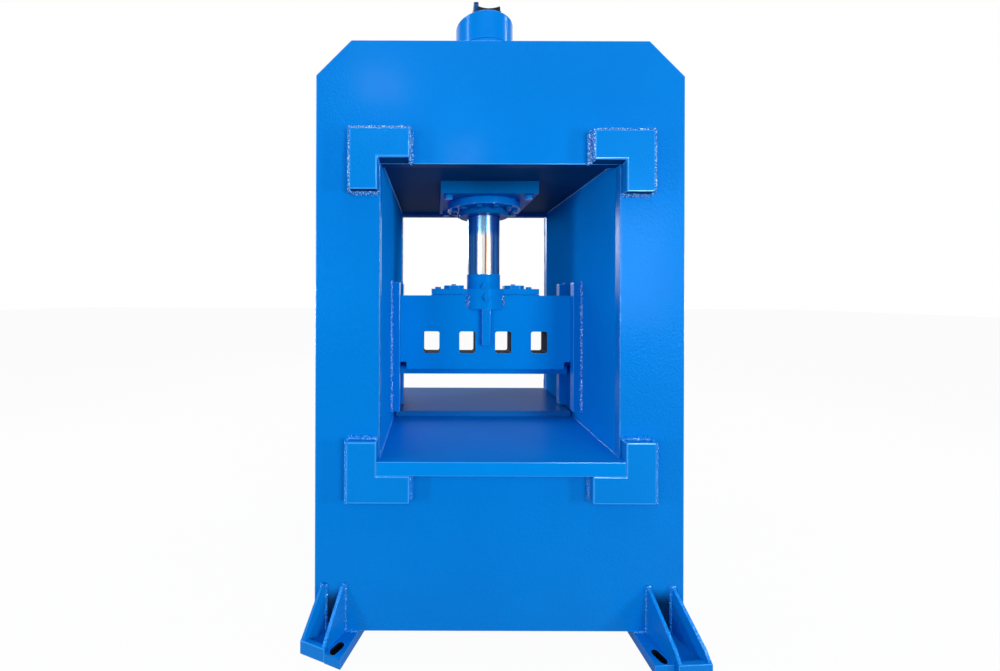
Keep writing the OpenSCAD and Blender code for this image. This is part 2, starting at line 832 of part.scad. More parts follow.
module piston_rings() {
  color(bronze) for (z = ring_levels) translate([0, 0, z + fit]) difference() {
    cylinder(r = piston_r, h = ring_h - 2 * fit);
    translate([0, 0, -eps]) cylinder(r = piston_r - ring_depth + fit, h = ring_h + 2 * eps);
  }
}

module piston_nut() {
  color(steel) translate([0, 0, nut_z]) difference() {
    hex(rod_spigot_d + 2 * nut_wall, nut_h);
    translate([0, 0, -eps]) cylinder(r = rod_spigot_d / 2 + fit, h = nut_h + 2 * eps);
  }
}

module ram_adaptor() {
  color(blue) difference() {
    translate([0, 0, adaptor_z]) cylinder(d = adaptor_d, h = adaptor_l);
    translate([0, 0, adaptor_top - socket_depth]) cylinder(r = rod_spigot_d / 2 + fit, h = socket_depth + eps);
    screw_hole(collar_top + adaptor_screw_up);
  }
}

// Cross hole of a set screw, from the front to the rod's spigot
module screw_hole(z) {
  translate([0, -rod_spigot_d / 2 + 5, z]) rotate([90, 0, 0]) cylinder(d = screw_d + 2 * fit, h = collar_d);
}

module ram_collar() {
  pocket_r = adaptor_screw_af / 2 / cos(30) + 2;
  color(blue) difference() {
    translate([0, 0, adaptor_z]) cylinder(d = collar_d, h = collar_h);
    translate([0, 0, adaptor_z - eps]) cylinder(r = adaptor_d / 2 + fit, h = collar_h + 2 * eps);
    translate([0, -adaptor_d / 2 + 4, adaptor_z + collar_screw_up]) rotate([90, 0, 0])
      cylinder(d = screw_d + 2 * fit, h = collar_d);
    translate([0, 0, collar_top + adaptor_screw_up]) rotate([90, 0, 0])
      cylinder(r = pocket_r, h = adaptor_d / 2 + adaptor_screw_k + 2);
  }
}

// One screw into the collar, and a larger one into the adaptor just above it
module set_screws() {
  color(blue) {
    translate([0, -collar_d / 2, adaptor_z + collar_screw_up]) rotate([90, 0, 0])
      hex(collar_screw_af, collar_screw_k);
    translate([0, -adaptor_d / 2 - fit, adaptor_z + collar_screw_up]) rotate([90, 0, 0])
      cylinder(d = screw_d, h = collar_d / 2 - adaptor_d / 2);
    translate([0, -adaptor_d / 2, collar_top + adaptor_screw_up]) rotate([90, 0, 0])
      hex(adaptor_screw_af, adaptor_screw_k);
    translate([0, -rod_spigot_d / 2 - 1, collar_top + adaptor_screw_up]) rotate([90, 0, 0])
      cylinder(d = screw_d, h = adaptor_d / 2 - rod_spigot_d / 2 - 1);
  }
}

// Window in the slab with rounded corners
module slab_port() {
  r = port_corner;
  translate([-port_w / 2 + r, 0]) square([port_w - 2 * r, port_h]);
  translate([-port_w / 2, r]) square([port_w, port_h - 2 * r]);
  for (x = [r - port_w / 2, port_w / 2 - r], z = [r, port_h - r]) translate([x, z]) circle(r = r);
}

module crosshead_slab() {
  color(blue) difference() {
    upright(slab_front, slab_t) difference() {
      translate([-slab_half_w, slab_z]) square([2 * slab_half_w, slab_h]);
      for (side = [-1, 1]) translate([side * slab_half_w - notch_w, slab_z - eps])
        square([2 * notch_w, notch_h + eps]);
      for (x = [-1.5 : 1 : 1.5]) translate([x * port_pitch, slab_z + port_up]) slab_port();
    }
    translate([0, 0, adaptor_z]) cylinder(r = collar_d / 2 + fit, h = collar_seat + eps);
  }
}

// Ribs that carry the parts of the collar that stand out before and behind the slab
module collar_ribs() {
  reach = collar_d / 2 - rib_back;
  toe = 30;
  color(blue) {
    translate([-rib_w / 2, -reach, adaptor_z - rib_h]) cube([rib_w, reach + slab_front, rib_h]);
    across(-rib_w / 2, rib_w) polygon([
      [slab_back, adaptor_z - rib_h], [slab_back + toe, adaptor_z - rib_h],
      [reach, adaptor_z - toe], [reach, adaptor_z], [slab_back, adaptor_z]
    ]);
  }
}

module press_bar() {
  color(blue) translate([-bar_half_w, cross_back - bar_d, bar_z]) cube([2 * bar_half_w, bar_d, bar_t]);
}

module guide_shoes() {
  color(blue) for (x0 = [-slab_half_w, slab_half_w - shoe_w])
    translate([x0, slab_back, slab_z]) cube([shoe_w, cross_back - slab_back, slab_h]);
}

// Plate welded on the slab's top, on a narrower foot that leaves room for the weld
module retaining_plate() {
  front = slab_front + keeper_back;
  depth = 2 * -front;
  z_foot = slab_top + keeper_rebate;
  color(blue) difference() {
    union() {
      translate([-keeper_w / 2 + keeper_rebate, front + keeper_rebate, slab_top])
        cube([keeper_w - 2 * keeper_rebate, depth - 2 * keeper_rebate, keeper_rebate]);
      translate([-keeper_w / 2, front, z_foot]) cube([keeper_w, depth, collar_top - z_foot]);
    }
    translate([0, 0, slab_top - eps]) cylinder(r = collar_d / 2 + fit, h = collar_top - slab_top + 2 * eps);
    for (x = [-keeper_screw_x, keeper_screw_x]) small_screw_hole(x, collar_top);
  }
}

module small_screw_hole(x, z) {
  translate([x, 0, z - small_screw_in - 1]) cylinder(d = small_screw_d + 2 * fit, h = small_screw_in + 1 + eps);
}

// Two low plates beside the ram, with cut corners
module clamp_plates() {
  half = clamp_d / 2;
  b = clamp_bevel;
  color(blue) for (side = [0, 1]) mirror([side, 0, 0]) translate([0, 0, collar_top]) difference() {
    linear_extrude(clamp_t) polygon([
      [clamp_inner_x, -half + b], [clamp_inner_x + b, -half], [clamp_outer_x - b, -half],
      [clamp_outer_x, -half + b], [clamp_outer_x, half - b], [clamp_outer_x - b, half],
      [clamp_inner_x + b, half], [clamp_inner_x, half - b]
    ]);
    translate([clamp_mid_x, 0, -eps]) cylinder(d = small_screw_d + 2 * fit, h = clamp_t + 2 * eps);
  }
}

module clamp_screws() {
  color(blue) for (side = [-1, 1]) {
    translate([side * clamp_mid_x, 0, collar_top + clamp_t]) hex(clamp_screw_af, clamp_screw_k);
    translate([side * clamp_mid_x, 0, collar_top]) cylinder(d = small_screw_d, h = clamp_t);
    translate([side * keeper_screw_x, 0, collar_top]) hex(keeper_screw_af, keeper_screw_k);
    translate([side * keeper_screw_x, 0, collar_top - small_screw_in])
      cylinder(d = small_screw_d, h = small_screw_in);
  }
}

front_plate();
rear_plate();
wall(-1);  // left_wall
wall(1);  // right_wall
ceiling_plate();
table_plate();
bed_plate();
side_plate(-1);  // left_side_plate
side_plate(1);  // right_side_plate
shoulder_plate(-1);  // left_shoulder_plate
shoulder_plate(1);  // right_shoulder_plate
top_plate();
crown_webs();
bed_webs();
front_pad(-1, 1);  // front_top_left_pad
front_pad(1, 1);  // front_top_right_pad
front_pad(-1, -1);  // front_low_left_pad
front_pad(1, -1);  // front_low_right_pad
rear_pads(1);  // rear_top_pads
rear_pads(-1);  // rear_low_pads
guide(-1, -1);  // front_left_guide
guide(1, -1);  // front_right_guide
guide(-1, 1);  // rear_left_guide
guide(1, 1);  // rear_right_guide
left_foot();  // front_left_foot
right_foot();  // front_right_foot
rotate(180) right_foot();  // rear_left_foot
rotate(180) left_foot();  // rear_right_foot
left_gussets();  // front_left_gussets
right_gussets();  // front_right_gussets
rotate(180) right_gussets();  // rear_left_gussets
rotate(180) left_gussets();  // rear_right_gussets
toe_plates();
mounting_plate();
mounting_bolts();
mounting_washers();
barrel();
end_cap();
cylinder_head();
gland_ring();
head_bolts();
rod_seals();
cap_port_boss();
roller_ear();
roller_pin();
roller();
ram_rod();
piston();
piston_rings();
piston_nut();
ram_adaptor();
ram_collar();
set_screws();
crosshead_slab();
collar_ribs();
press_bar();
guide_shoes();
retaining_plate();
clamp_plates();
clamp_screws();
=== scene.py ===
# %% [markdown]
# A welded plate-frame hydraulic press in glossy blue enamel.
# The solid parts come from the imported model, in metres, with the floor at z = 0 and the cylinder's
# axis at x = y = 0. This script softens their edges, adds the weld beads, paints everything and
# sets up the camera and the lights.

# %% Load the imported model
import json
import math
import random

import bpy
from mathutils import Matrix, Vector

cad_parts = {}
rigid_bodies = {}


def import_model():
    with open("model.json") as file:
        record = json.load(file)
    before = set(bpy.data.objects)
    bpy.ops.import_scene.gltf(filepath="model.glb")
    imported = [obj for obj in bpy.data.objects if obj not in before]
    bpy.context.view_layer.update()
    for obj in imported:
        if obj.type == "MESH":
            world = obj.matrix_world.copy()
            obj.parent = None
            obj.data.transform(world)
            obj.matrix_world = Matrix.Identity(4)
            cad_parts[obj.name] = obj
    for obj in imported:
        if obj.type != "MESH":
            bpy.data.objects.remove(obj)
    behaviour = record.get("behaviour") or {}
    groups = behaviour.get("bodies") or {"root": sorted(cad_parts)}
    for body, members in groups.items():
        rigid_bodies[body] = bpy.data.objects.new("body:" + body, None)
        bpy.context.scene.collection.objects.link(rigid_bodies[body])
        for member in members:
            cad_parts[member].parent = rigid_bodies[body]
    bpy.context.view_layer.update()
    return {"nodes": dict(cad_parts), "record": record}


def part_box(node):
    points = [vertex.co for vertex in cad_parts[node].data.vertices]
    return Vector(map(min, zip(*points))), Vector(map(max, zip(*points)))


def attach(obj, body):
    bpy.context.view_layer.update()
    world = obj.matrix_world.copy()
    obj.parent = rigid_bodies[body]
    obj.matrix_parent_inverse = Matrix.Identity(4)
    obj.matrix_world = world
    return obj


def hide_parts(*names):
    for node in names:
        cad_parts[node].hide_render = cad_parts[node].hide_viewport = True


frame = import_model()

record = frame["record"]
BODY_OF = {node: body for body, nodes in record["behaviour"]["bodies"].items() for node in nodes}
SLOT_OF = {part["node"]: part["material_slot"] for part in record["subparts"]}
print("nodes loaded:", len(frame["nodes"]))

# %% [markdown]
# A few helpers come first. Colours are picked as sRGB hex values, the way a paint shop's chart or a
# colour picker gives them, but shaders work in linear light, so one function converts them. Another
# adds a shader node, sets its values and wires its inputs in a single call, which keeps each
# material short enough to read as a recipe.

# %% Helpers for colours and shader nodes
def linear(hex_value):
    """Linear RGBA of an sRGB hex colour."""
    channels = [int(hex_value[i:i + 2], 16) / 255 for i in (1, 3, 5)]
    return tuple(c / 12.92 if c <= 0.04045 else ((c + 0.055) / 1.055) ** 2.4 for c in channels) + (1.0,)


def add_node(tree, kind, settings=None, **inputs):
    """Adds a node. A setting is one of its properties. An input is a value or another node's output,
    given under the input's name, or under i and its number."""
    node = tree.nodes.new(kind)
    for name, value in (settings or {}).items():
        setattr(node, name, value)
    for name, value in inputs.items():
        numbered = name[0] == "i" and name[1:].isdigit()
        socket = node.inputs[int(name[1:]) if numbered else name.replace("_", " ")]
        if isinstance(value, bpy.types.NodeSocket):
            tree.links.new(value, socket)
        else:
            socket.default_value = value
    return node


def maths(tree, operation, *values):
    """The result of a Math node."""
    inputs = {f"i{number}": value for number, value in enumerate(values)}
    return add_node(tree, "ShaderNodeMath", {"operation": operation}, **inputs).outputs["Value"]


def remap(tree, value, start, end, low, high, kind="LINEAR"):
    """Carries start to low and end to high, and holds those beyond."""
    return add_node(tree, "ShaderNodeMapRange", {"interpolation_type": kind}, Value=value, From_Min=start,
                    From_Max=end, To_Min=low, To_Max=high).outputs["Result"]


def mix(tree, share, low, high):
    """The colour low where share is 0, and high where it is 1."""
    return add_node(tree, "ShaderNodeMix", {"data_type": "RGBA"}, Factor=share, i6=low,
                    i7=high).outputs["Result"]


def new_material(name):
    """An empty material and its tree."""
    material = bpy.data.materials.new(name)
    material.use_nodes = True
    material.node_tree.nodes.clear()
    return material, material.node_tree


# %% [markdown]
# The press is sprayed with a glossy machine enamel, a solvent-borne alkyd, straight over rolled and
# flame-cut plate. Sprayed enamel never dries flat: it keeps a faint orange peel, with dimples some
# 6 mm apart, which breaks a lamp's reflection into speckles. Fine noise drives that bump. A second,
# much broader noise lets the colour drift a little, as film thickness does. A saturated pigment
# lies near the surface, so head-on reflections take the paint's own blue. Where the enamel lies
# thick, a clear film over it gives whiter reflections. Two masks paint light and shade into the
# colour: painted shade between the gussets of the feet, darker towards the floor, and painted
# glints, pale specks on the crests of the heavy welds.

# %% Enamel finishes
PEEL_SPACING, PEEL_DEPTH = 0.0065, 0.0022
FILM_DRIFT = 0.30
CLEAR_ROUGHNESS = 0.16
PIGMENT_GLINT, WHITE_GLINT = "#0090ff", "#a0d8ff"
PAINTED_SHADE_COLOUR = "#031528"
# The gap between the gussets of a front foot: its middle, left of the axis, and half its width
LEFT_GAP, RIGHT_GAP = (0.541, 0.024), (-0.518, 0.032)
GAP_FADE = 0.012
# The painted shade in the gaps: full below the first height, gone above the second, and how dark it gets at
# most
SHADE_FULL_BELOW, SHADE_ENDS_AT, SHADE_COVER = 0.12, 0.182, 0.92
# Pale specks on the crests of heavy welds, which are painted glints: their spacing, share and the noise range
# that makes them
GLINT_SPACING, GLINT_COVER = 0.0038, 0.85
GLINTS_FROM, GLINTS_TO = 0.55, 0.64


def box_mask(tree, value, middle, half, soft):
    """1 where value lies within half of middle, fading to 0 over soft."""
    away = maths(tree, "ABSOLUTE", maths(tree, "SUBTRACT", value, middle))
    return remap(tree, away, half, half + soft, 1.0, 0.0, "SMOOTHSTEP")


def gusset_painted_shade(tree, place):
    """Painted shade between the gussets of each foot, darker towards the floor. The rear feet are the front
    ones turned half round.
    """
    axes = add_node(tree, "ShaderNodeSeparateXYZ", Vector=place)
    along = maths(tree, "MULTIPLY", axes.outputs["X"], maths(tree, "SIGN", axes.outputs["Y"]))
    gaps = maths(tree, "MAXIMUM", box_mask(tree, along, *LEFT_GAP, GAP_FADE),
                 box_mask(tree, along, *RIGHT_GAP, GAP_FADE))
    low = remap(tree, axes.outputs["Z"], SHADE_ENDS_AT, SHADE_FULL_BELOW, 0.0, SHADE_COVER, "SMOOTHSTEP")
    return maths(tree, "MULTIPLY", gaps, low)


def painted_glint_specks(tree, place):
    """Painted glints: fine pale specks about 2 mm across."""
    grain = add_node(tree, "ShaderNodeTexNoise", Vector=place, Scale=1 / GLINT_SPACING, Detail=1.0)
    return remap(tree, grain.outputs["Fac"], GLINTS_FROM, GLINTS_TO, 0.0, GLINT_COVER)


def enamel(name, thin, thick, roughness, peel, clear=0.0, sheen=0.5, tint=PIGMENT_GLINT, patch=None,
           patch_colour=PAINTED_SHADE_COLOUR):
    """Sprayed enamel, with its colours where the film is thin and thick. peel is the strength of the
    dimples, and sheen and tint are those of its reflections. clear is the share of clear film over
    it, and patch is a mask that lays patch_colour over the paint, as painted shade or painted glints."""
    material, tree = new_material(name)
    place = add_node(tree, "ShaderNodeTexCoord").outputs["Object"]
    drift = add_node(tree, "ShaderNodeTexNoise", Vector=place, Scale=1 / FILM_DRIFT, Detail=3.0)
    colour = mix(tree, drift.outputs["Fac"], linear(thin), linear(thick))
    if patch:
        colour = mix(tree, patch(tree, place), colour, linear(patch_colour))
    dimples = add_node(tree, "ShaderNodeTexNoise", Vector=place, Scale=1 / PEEL_SPACING, Detail=2.0)
    bump = add_node(tree, "ShaderNodeBump", Strength=peel, Distance=PEEL_DEPTH,
                    Height=dimples.outputs["Fac"])
    paint = add_node(tree, "ShaderNodeBsdfPrincipled", Base_Color=colour, Roughness=roughness, IOR=1.5,
                     Normal=bump.outputs["Normal"], Specular_IOR_Level=sheen, Specular_Tint=linear(tint),
                     Coat_Weight=clear, Coat_Roughness=CLEAR_ROUGHNESS)
    add_node(tree, "ShaderNodeOutputMaterial", Surface=paint.outputs["BSDF"])
    return material


plate_enamel = enamel("alkyd_enamel_on_plate", "#0276d2", "#0280dd", 0.24, 0.6, 0.03)
# Between the gussets of a foot the colour is darkened towards the floor: painted shade
face_enamel = enamel("alkyd_enamel_on_face_plates", "#0274cf", "#027eda", 0.24, 0.6, 0.03,
                     patch=gusset_painted_shade)
# These were sprayed lying flat, before they went into the frame, so they show less orange peel
pad_enamel = enamel("alkyd_enamel_on_pads", "#0279d2", "#0382dc", 0.24, 0.35, 0.05)
crosshead_enamel = enamel("alkyd_enamel_on_crosshead", "#0286e0", "#0290ee", 0.28, 0.25, 0.0, 0.3)
cylinder_enamel = enamel("alkyd_enamel_on_cylinder", "#027ad4", "#0286e6", 0.20, 0.12, 0.06, 0.4)
table_enamel = enamel("alkyd_enamel_on_table", "#027fda", "#0289e6", 0.34, 0.15, 0.0, 0.015)
# The edges get a paler, glossier and very smooth enamel: the paler blue is a painted highlight
edge_highlight_enamel = enamel("pale_enamel_painted_highlight_on_edges", "#1c92ee", "#2a9cf4", 0.14, 0.1, 0.6, 0.8,
                     WHITE_GLINT)
# The parts that hang under the ceiling get a darker, duller enamel: the darker blue is painted shade
head_painted_shade_enamel = enamel("painted_shade_enamel_on_cylinder_head", "#0266b0", "#0272c0", 0.34, 0.12, 0.0, 0.06)
# Sides that face the floor, round the top of the tunnel's mouth, are painted dark: painted shade
underside_painted_shade_enamel = enamel("painted_shade_on_undersides", "#01386c", "#024280", 0.34, 0.12, 0.0, 0.04)
# The bed plate's enamel is greyer and duller than the rest
greyer_bed_enamel = enamel("greyer_enamel_on_bed", "#0f66ae", "#1a72be", 0.30, 0.15, 0.0, 0.03)
# Inside the tunnel the spray gun reaches badly: the film is thinner, less even and duller
tunnel_enamel = enamel("thin_sprayed_enamel", "#037cd4", "#048cea", 0.42, 0.25, 0.0, 0.0)
# The ceiling and the crown and bed webs get a dark, dull blue: painted shade
ceiling_painted_shade_enamel = enamel("dark_enamel_painted_shade_overhead", "#0a4468", "#0c507c", 0.45, 0.15, 0.0, 0.02)
# The ear is a darker blue
dark_enamel = enamel("dark_enamel_on_ear", "#0b3a6e", "#0f4680", 0.30, 0.15, 0.0, 0.2)
# On the ripples of a weld the enamel pools and shines. The crests of the heavy welds get pale specks, painted
# glints
bead_enamel = enamel("pooled_enamel_on_welds", "#0272cc", "#0a88e6", 0.12, 0.2, 0.4, 0.8, WHITE_GLINT)
painted_glint_bead_enamel = enamel("painted_glints_on_weld_crests", "#026cc4", "#0279d8", 0.12, 0.2, 0.4, 0.8, WHITE_GLINT,
                      painted_glint_specks, "#c4ecff")
# Flame-cut slot and window walls are bare steel, and their near-black colour is also painted shade
slot_scale_and_painted_shade = enamel("mill_scale_and_painted_shade_in_slots", "#04101e", "#081a30", 0.7, 0.4, 0.0, 0.1)
print("enamels made")

# %% [markdown]
# The ram is hard-chromed and ground. Chrome keeps a metal's default index of refraction, its colour
# is a cool near-white, and a ground rod keeps a faint haze. Oil dries on it in upright streaks,
# drawn by a noise that is stretched along the rod, and paint mist has settled on its top end, just
# below the gland. Bare turned steel, bronze and rubber complete the hidden parts.

# %% Metals and rubber
STREAKS_ACROSS, STREAKS_ALONG = 120.0, 1.0
OIL_UP_TO, CLEAN_FROM = 0.36, 0.55
MIST_FROM, MIST_FULL, MIST_COVER = 1.365, 1.40, 0.85
CHROME_SHARE = 0.97


def metal(name, colour, roughness):
    """A plain bare metal."""
    material, tree = new_material(name)
    shine = add_node(tree, "ShaderNodeBsdfPrincipled", Base_Color=linear(colour), Metallic=1.0,
                     Roughness=roughness)
    add_node(tree, "ShaderNodeOutputMaterial", Surface=shine.outputs["BSDF"])
    return material


hard_chrome, tree = new_material("ground_hard_chrome")
place = add_node(tree, "ShaderNodeTexCoord").outputs["Object"]
stretched = add_node(tree, "ShaderNodeMapping", Vector=place,
                     Scale=(STREAKS_ACROSS, STREAKS_ACROSS, STREAKS_ALONG))
streaks = add_node(tree, "ShaderNodeTexNoise", Vector=stretched.outputs["Vector"], Scale=1.0, Detail=5.0)
film = add_node(tree, "ShaderNodeValToRGB", Fac=streaks.outputs["Fac"])
oily, clean = film.color_ramp.elements
oily.position, oily.color = OIL_UP_TO, linear("#7d6656")
clean.position, clean.color = CLEAN_FROM, linear("#f2f3f4")
height = add_node(tree, "ShaderNodeSeparateXYZ", Vector=place)
mist = remap(tree, height.outputs["Z"], MIST_FROM, MIST_FULL, 0.0, MIST_COVER, "SMOOTHSTEP")
shine = add_node(tree, "ShaderNodeBsdfPrincipled", Metallic=CHROME_SHARE, Roughness=0.22,
                 Base_Color=mix(tree, mist, film.outputs["Color"], linear("#5b9fd6")))
add_node(tree, "ShaderNodeOutputMaterial", Surface=shine.outputs["BSDF"])

turned_steel = metal("turned_steel", "#8d9094", 0.32)
plain_bronze = metal("plain_bronze", "#a98a52", 0.35)
black_rubber, tree = new_material("moulded_black_rubber")
dull = add_node(tree, "ShaderNodeBsdfPrincipled", Base_Color=linear("#1a2530"), Roughness=0.6,
                Specular_IOR_Level=0.12)
add_node(tree, "ShaderNodeOutputMaterial", Surface=dull.outputs["BSDF"])
print("materials:", len(bpy.data.materials))

# %% [markdown]
# Each node of the model names its finish by a material slot. A few nodes get a variant of that
# finish, for where they stand: the tunnel, the table, the corner pads, and the painted parts of the
# cylinder that hang just under the ceiling. The ceiling and the parts under it are painted darker,
# as painted shade.

# %% Which node gets which finish
FINISH = {"frame_enamel": plate_enamel, "crosshead_enamel": crosshead_enamel,
          "cylinder_enamel": cylinder_enamel, "hard_chrome": hard_chrome, "bare_steel": turned_steel,
          "ring_bronze": plain_bronze, "seal_rubber": black_rubber, "roller_black": black_rubber}
# Painted parts of the cylinder between these two heights hang under the ceiling
HEAD_FROM, HEAD_TO = 1.40, 1.57
HEAD_NODES = [node for node in frame["nodes"] if SLOT_OF[node] == "cylinder_enamel"
              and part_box(node)[0].z > HEAD_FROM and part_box(node)[1].z < HEAD_TO]
PADS = [node for node in frame["nodes"] if "_pad" in node]
SPECIAL = {"front_plate": face_enamel, "rear_plate": face_enamel, "left_wall": tunnel_enamel,
           "right_wall": tunnel_enamel, "ceiling_plate": ceiling_painted_shade_enamel, "crown_webs": ceiling_painted_shade_enamel,
           "bed_webs": ceiling_painted_shade_enamel, "table_plate": table_enamel, "bed_plate": greyer_bed_enamel,
           "roller_ear": dark_enamel}
SPECIAL.update({node: pad_enamel for node in PADS})
SPECIAL.update({node: head_painted_shade_enamel for node in HEAD_NODES})
print("under the ceiling:", HEAD_NODES)

# %% [markdown]
# Real plate has no razor edges: flame cutting, grinding and paint leave a small round, and that
# round draws the thin bright lines along every edge, together with the paler enamel it gets, which
# is a painted highlight. Each solid is copied, its triangles are merged back into flat faces, and a
# Bevel modifier rounds what is still sharp, giving the round that paler enamel where the piece's
# finish has one. A Weighted Normal modifier follows: without it, smooth shading would bend the light
# across the big flat faces. The copy then stands for the solid, which stays in the simulation. The
# rod, the piston and the seals keep their exact round forms.

# %% Soften the edges of every solid
MERGE_WITHIN = 0.00002
FLAT_WITHIN, SHARP_ABOVE, SMOOTH_BELOW = math.radians(0.3), math.radians(32), math.radians(34)
BEVEL_STEPS = 2
# Finishes whose rounded edges get the paler edge enamel, a painted highlight
FINISHES_WITH_EDGE_HIGHLIGHT = (plate_enamel, face_enamel, pad_enamel, table_enamel, crosshead_enamel, cylinder_enamel)
USUAL_EDGE, SMALL_EDGE, PAD_EDGE, FOOT_EDGE = 0.002, 0.0006, 0.005, 0.003
EDGE = {"front_plate": 0.003, "rear_plate": 0.003, "table_plate": 0.0045, "bed_plate": 0.003,
        "crosshead_slab": 0.003, "clamp_plates": 0.006, "mounting_plate": 0.003, "end_cap": 0.0015}
EDGE.update({pad: PAD_EDGE for pad in PADS})
EDGE.update({node: FOOT_EDGE for node in frame["nodes"] if node.endswith(("_foot", "_gussets"))})
EDGE.update({node: SMALL_EDGE for node in ("head_bolts", "mounting_bolts", "mounting_washers", "clamp_screws",
                                           "set_screws", "roller_pin", "piston_nut")})
AS_MADE = ("rod_seals", "piston_rings", "piston", "ram_rod")


def only(obj):
    """Makes obj the one selected and active object."""
    for other in bpy.context.view_layer.objects.selected[:]:
        other.select_set(False)
    obj.select_set(True)
    bpy.context.view_layer.objects.active = obj


def softened(node, radius, finish):
    """A copy of a CAD node with rounded edges, which replaces the node."""
    source = frame["nodes"][node]
    piece = bpy.data.objects.new(node + "_soft", source.data.copy())
    bpy.context.scene.collection.objects.link(piece)
    piece.data.materials.clear()
    piece.data.materials.append(finish)
    if finish in FINISHES_WITH_EDGE_HIGHLIGHT:
        piece.data.materials.append(edge_highlight_enamel)
    only(piece)
    bpy.ops.object.mode_set(mode="EDIT")
    bpy.ops.mesh.select_all(action="SELECT")
    bpy.ops.mesh.remove_doubles(threshold=MERGE_WITHIN)
    bpy.ops.mesh.customdata_custom_splitnormals_clear()
    bpy.ops.mesh.dissolve_limited(angle_limit=FLAT_WITHIN)
    bpy.ops.object.mode_set(mode="OBJECT")
    round_off = piece.modifiers.new("edge", "BEVEL")
    round_off.width = radius
    round_off.segments = BEVEL_STEPS
    round_off.limit_method = "ANGLE"
    round_off.angle_limit = SHARP_ABOVE
    round_off.use_clamp_overlap = True
    round_off.material = len(piece.data.materials) - 1
    bpy.ops.object.modifier_apply(modifier=round_off.name)
    bpy.ops.object.shade_smooth_by_angle(angle=SMOOTH_BELOW)
    flatten = piece.modifiers.new("flat faces", "WEIGHTED_NORMAL")
    flatten.mode = "FACE_AREA"
    flatten.weight = 100
    flatten.keep_sharp = True
    bpy.ops.object.modifier_apply(modifier=flatten.name)
    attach(piece, BODY_OF[node])
    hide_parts(node)
    return piece


pieces = {}
for node, source in frame["nodes"].items():
    finish = SPECIAL.get(node, FINISH[SLOT_OF[node]])
    if node in AS_MADE:
        source.data.materials.clear()
        source.data.materials.append(finish)
    else:
        pieces[node] = softened(node, EDGE.get(node, USUAL_EDGE), finish)
print("softened pieces:", len(pieces), "faces:", sum(len(p.data.polygons) for p in pieces.values()))

# %% [markdown]
# Some sides of a piece look different from the rest of it. The walls of the crosshead's windows are
# flame-cut and bare, and near black, which is also painted shade. Round the top of the tunnel's
# mouth the undersides of plates and pads are painted dark, as painted shade.

# %% Finishes of single sides
# A face runs along an axis when its normal has less than this share of that axis
ALONG = 0.5
FACES_DOWN = -0.9
WINDOWS_WITHIN, WINDOWS_INSET = 0.30, 0.03
UPPER_HALF_FROM = 1.0


def repaint(piece, wanted, finish):
    """Gives the faces for which wanted(face) holds another finish."""
    piece.data.materials.append(finish)
    for polygon in piece.data.polygons:
        if wanted(polygon):
            polygon.material_index = len(piece.data.materials) - 1


slab_low, slab_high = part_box("crosshead_slab")
repaint(pieces["crosshead_slab"], lambda face: abs(face.normal.y) < ALONG
        and abs(face.center.x) < WINDOWS_WITHIN
        and slab_low.z + WINDOWS_INSET < face.center.z < slab_high.z - WINDOWS_INSET, slot_scale_and_painted_shade)
for node in ("front_plate", "rear_plate", "front_top_left_pad", "front_top_right_pad", "rear_top_pads"):
    repaint(pieces[node], lambda face: face.normal.z < FACES_DOWN and face.center.z > UPPER_HALF_FROM,
            underside_painted_shade_enamel)
print("faces with a finish of their own:",
      sum(face.material_index > 0 for piece in pieces.values() for face in piece.data.polygons))

# %% [markdown]
# The frame is joined by hand-laid fillet welds. A weld is a row of frozen ripples, each a little
# different, lying in the corner between two faces. One ripple is modelled from a sphere, flattened
# and pulled forward like a fish scale. It is then copied along each seam with a small change of
# place, size and turn, and a seam's ripples are joined into one piece. All sizes of a ripple are
# shares of the bead's leg.

# %% Model one ripple and lay it along seams
RIPPLE_HEIGHT = 0.9
CREST_BEND, CREST_LEAN = 0.35, 0.2
USUAL_PITCH = 0.62
RISE, STRAY, TWIST = 0.14, 0.4, 1.2
RIPPLE_ACROSS, RIPPLE_OUT = 0.70, 0.42
X, Y, Z = Vector((1, 0, 0)), Vector((0, 1, 0)), Vector((0, 0, 1))
seams = []

bpy.ops.object.select_all(action="DESELECT")
bpy.ops.mesh.primitive_uv_sphere_add(segments=8, ring_count=6, radius=1.0)
ripple = bpy.context.object
ripple.name = "ripple"
bpy.ops.object.mode_set(mode="EDIT")
bpy.ops.mesh.select_all(action="SELECT")
bpy.ops.transform.resize(value=(1.0, 1.0, RIPPLE_HEIGHT))
bpy.ops.object.mode_set(mode="OBJECT")
for vertex in ripple.data.vertices:
    # the crest of a ripple lags behind its edges, as the pool freezes from the sides
    vertex.co.x += CREST_BEND * vertex.co.y ** 2 - CREST_LEAN * max(vertex.co.z, 0.0)
for polygon in ripple.data.polygons:
    polygon.use_smooth = True


